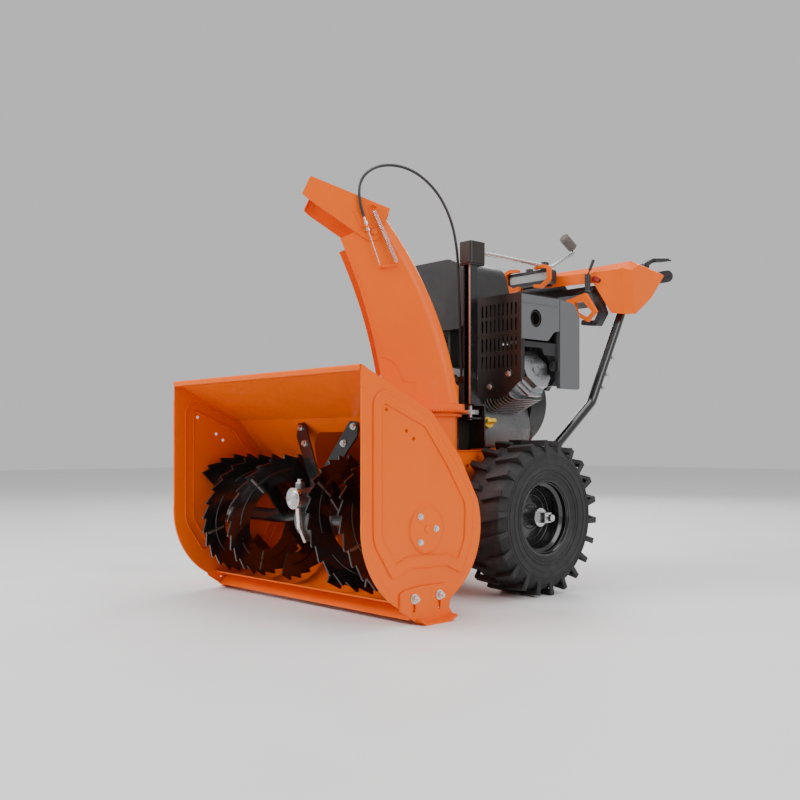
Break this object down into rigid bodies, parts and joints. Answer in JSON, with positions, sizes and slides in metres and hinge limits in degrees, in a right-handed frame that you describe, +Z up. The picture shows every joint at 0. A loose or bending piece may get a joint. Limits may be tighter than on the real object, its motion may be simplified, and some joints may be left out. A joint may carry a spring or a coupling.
{
  "type": "two-stage snow blower",
  "caption": "Walk-behind two-stage snow blower with a wide auger housing, toothed augers, turning discharge chute, engine, lugged wheels and a crank from the dash.",
  "frame": {"origin": "on the ground under the middle of the machine's overall box", "axes": "+X to the right of someone facing the housing's mouth, -Y towards the mouth, +Z up"},
  "size_m": [0.879, 1.5039, 1.1938],
  "materials": {
    "orange_paint": "gloss",
    "black_paint": "gloss",
    "dark_metal": "satin",
    "grey_panel": "satin",
    "steel": "brushed",
    "zinc": "bright",
    "cast_grey": "cast",
    "aluminium": "cast",
    "tyre_rubber": "matte",
    "belt_rubber": "matte",
    "black_plastic": "matte",
    "grey_plastic": "matte",
    "yellow_plastic": "gloss",
    "red_plastic": "gloss",
    "lens": "clear"
  },
  "bodies": {
    "chassis": {"housing_shell": "orange_paint", "side_plates": "orange_paint", "skid_shoes": "orange_paint", "scraper_bar": "orange_paint", "fasteners": "zinc", "bearings": "zinc", "impeller_housing": "orange_paint", "gearcase_halves": "cast_grey", "gearcase_fittings": "zinc", "gearcase_brace": "black_paint", "deflector_cable": "belt_rubber", "chute_gearbox": "dark_metal", "pedestal": "black_paint", "tractor_frame": "orange_paint", "crankcase": "cast_grey", "auger_belt": "belt_rubber", "belt_cover": "dark_metal", "cylinder": "aluminium", "valve_cover": "aluminium", "muffler": "dark_metal", "muffler_guard": "dark_metal", "side_covers": "grey_panel", "control_box": "black_plastic", "fan_housing": "black_plastic", "fuel_tank": "black_plastic", "handle_tubes": "black_paint", "dash_wings": "orange_paint", "dash_moulding": "black_plastic", "headlight_lens": "lens", "grips": "belt_rubber", "lever_brackets": "black_plastic"},
    "augers": {"auger_shaft": "steel", "auger_left": "black_paint", "auger_right": "black_paint"},
    "impeller": {"impeller": "black_paint", "impeller_shaft": "steel"},
    "engine_shaft": {"crankshaft": "steel"},
    "chute": {"chute_body": "orange_paint", "chute_ring": "orange_paint", "chute_fittings": "orange_paint", "deflector_spring": "steel"},
    "deflector": {"deflector": "orange_paint"},
    "chute_drive": {"chute_pinion": "steel"},
    "crank": {"crank_rod": "steel"},
    "crank_handle": {"crank_knob": "grey_plastic"},
    "wheel_left": {"half_axle_left": "steel", "rim_left": "black_paint", "tyre_left": "tyre_rubber"},
    "wheel_right": {"half_axle_right": "steel", "rim_right": "black_paint", "tyre_right": "tyre_rubber"},
    "clutch_lever_left": {"clutch_lever_left": "black_plastic"},
    "clutch_lever_right": {"clutch_lever_right": "black_plastic"},
    "speed_lever": {"speed_lever": "black_plastic"},
    "deflector_lever": {"deflector_lever": "black_plastic"},
    "start_button": {"start_button": "red_plastic"},
    "choke_knob": {"choke_knob": "black_plastic"},
    "fuel_cap": {"fuel_cap": "black_plastic"},
    "oil_cap": {"oil_cap": "yellow_plastic"},
    "recoil_grip": {"recoil_grip": "black_plastic"}
  },
  "joints": [
    {"name": "auger_turn", "type": "hinge", "parent": "chassis", "child": "augers", "pos_m": [0, -0.548, 0.222], "axis": [1, 0, 0], "continuous": true},
    {"name": "impeller_turn", "type": "hinge", "parent": "chassis", "child": "impeller", "pos_m": [0, -0.348, 0.28], "axis": [0, 1, 0], "continuous": true},
    {"name": "crankshaft_turn", "type": "hinge", "parent": "chassis", "child": "engine_shaft", "pos_m": [0, 0.052, 0.53], "axis": [0, 1, 0], "continuous": true},
    {"name": "chute_turn", "type": "hinge", "parent": "chassis", "child": "chute", "pos_m": [0.1, -0.258, 0.52], "axis": [0, 0, 1], "range_deg": [-57, 118], "deforming": ["deflector_cable"]},
    {"name": "deflector_tilt", "type": "hinge", "parent": "chute", "child": "deflector", "pos_m": [0.01319, -0.36911, 0.992], "axis": [0.788, -0.6157, 0], "range_deg": [0, 50], "deforming": ["deflector_spring"]},
    {"name": "pinion_turn", "type": "hinge", "parent": "chassis", "child": "chute_drive", "pos_m": [0.15045, -0.1194, 0.7], "axis": [0, 0, 1], "range_deg": [-657, 318]},
    {"name": "crank_turn", "type": "hinge", "parent": "chassis", "child": "crank", "pos_m": [0.15045, -0.1194, 0.974], "axis": [-0.2626, 0.9623, 0.0716], "range_deg": [-657, 318]},
    {"name": "crank_knob_spin", "type": "hinge", "parent": "crank", "child": "crank_handle", "pos_m": [0, 0.567, 1.086], "axis": [0, -0.8682, 0.4961], "continuous": true},
    {"name": "left_wheel_roll", "type": "hinge", "parent": "chassis", "child": "wheel_left", "pos_m": [0, -0.01, 0.217], "axis": [1, 0, 0], "continuous": true},
    {"name": "right_wheel_roll", "type": "hinge", "parent": "chassis", "child": "wheel_right", "pos_m": [0, -0.01, 0.217], "axis": [1, 0, 0], "continuous": true},
    {"name": "left_clutch_squeeze", "type": "hinge", "parent": "chassis", "child": "clutch_lever_left", "pos_m": [0.25, 0.588, 1.002], "axis": [-1, 0, 0], "range_deg": [0, 9], "stiffness_Nm_per_rad": 3, "springref_deg": -20.05},
    {"name": "right_clutch_squeeze", "type": "hinge", "parent": "chassis", "child": "clutch_lever_right", "pos_m": [-0.25, 0.588, 1.002], "axis": [-1, 0, 0], "range_deg": [0, 9], "stiffness_Nm_per_rad": 3, "springref_deg": -20.05},
    {"name": "speed_select", "type": "hinge", "parent": "chassis", "child": "speed_lever", "pos_m": [-0.19, 0.548, 0.905], "axis": [1, 0, 0], "range_deg": [-26, 7]},
    {"name": "deflector_stick", "type": "hinge", "parent": "chassis", "child": "deflector_lever", "pos_m": [0.193, 0.374, 0.956], "axis": [1, 0, 0], "range_deg": [-3, 20]},
    {"name": "start_press", "type": "slide", "parent": "chassis", "child": "start_button", "axis": [0.3015, 0.9045, -0.3015], "range_m": [0, 0.003], "stiffness_N_per_m": 150, "springref_m": -0.004},
    {"name": "choke_twist", "type": "hinge", "parent": "chassis", "child": "choke_knob", "pos_m": [0.278, 0.105, 0.648], "axis": [1, 0, 0], "range_deg": [0, 90]},
    {"name": "fuel_cap_twist", "type": "hinge", "parent": "chassis", "child": "fuel_cap", "pos_m": [-0.15, 0.082, 1], "axis": [0, 0, 1], "continuous": true},
    {"name": "oil_cap_twist", "type": "hinge", "parent": "chassis", "child": "oil_cap", "pos_m": [0.1506, -0.046, 0.484], "axis": [0.92, -0.1993, 0.3373], "continuous": true},
    {"name": "recoil_pull", "type": "slide", "parent": "chassis", "child": "recoil_grip", "axis": [0.6, 0, 0.8], "range_m": [0, 0.3], "stiffness_N_per_m": 5, "springref_m": -0.4}
  ],
  "couplings": [
    {"joint": "impeller_turn", "follows": "auger_turn", "ratio": 20},
    {"joint": "pinion_turn", "follows": "chute_turn", "ratio": -5.5556},
    {"joint": "crank_turn", "follows": "chute_turn", "ratio": -5.5556}
  ]
}
